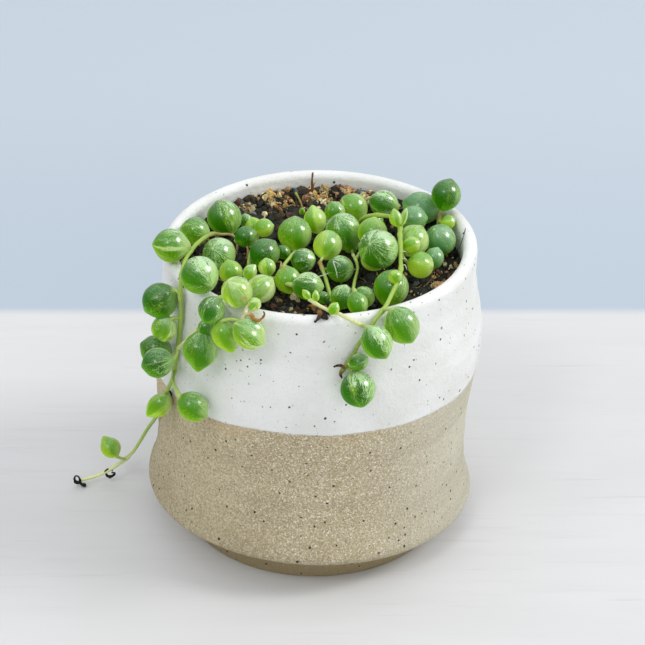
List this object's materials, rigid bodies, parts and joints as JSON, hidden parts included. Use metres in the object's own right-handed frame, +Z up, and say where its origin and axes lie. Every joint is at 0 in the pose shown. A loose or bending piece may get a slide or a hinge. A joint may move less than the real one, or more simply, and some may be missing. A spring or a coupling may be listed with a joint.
{
  "type": "potted trailing succulent",
  "caption": "Small thrown stoneware pot of soil with a trailing succulent, whose bead-like pointed leaves on thin stems lie on the soil and hang over the rim.",
  "frame": {"origin": "centre of the pot's foot, on the surface that the pot stands on", "axes": "+Z up; the pot is seen from -Y, with +X to the right, so the long trailing stem hangs at -X"},
  "size_m": [0.1092, 0.0916, 0.0912],
  "materials": {
    "stoneware": "matte",
    "potting_mix": "matte",
    "pearls_and_stems": "satin",
    "dry_twig": "matte",
    "dry_stalk": "matte"
  },
  "bodies": {
    "root": {"pot": "stoneware", "soil": "potting_mix", "strand_left_long": "pearls_and_stems", "strand_left_back": "pearls_and_stems", "strand_left_front": "pearls_and_stems", "strand_centre_left": "pearls_and_stems", "strand_centre": "pearls_and_stems", "strand_back": "pearls_and_stems", "strand_front_centre": "pearls_and_stems", "strand_front_right": "pearls_and_stems", "strand_right": "pearls_and_stems", "twig_dry": "dry_twig", "stalk_dry": "dry_stalk"}
  },
  "joints": []
}
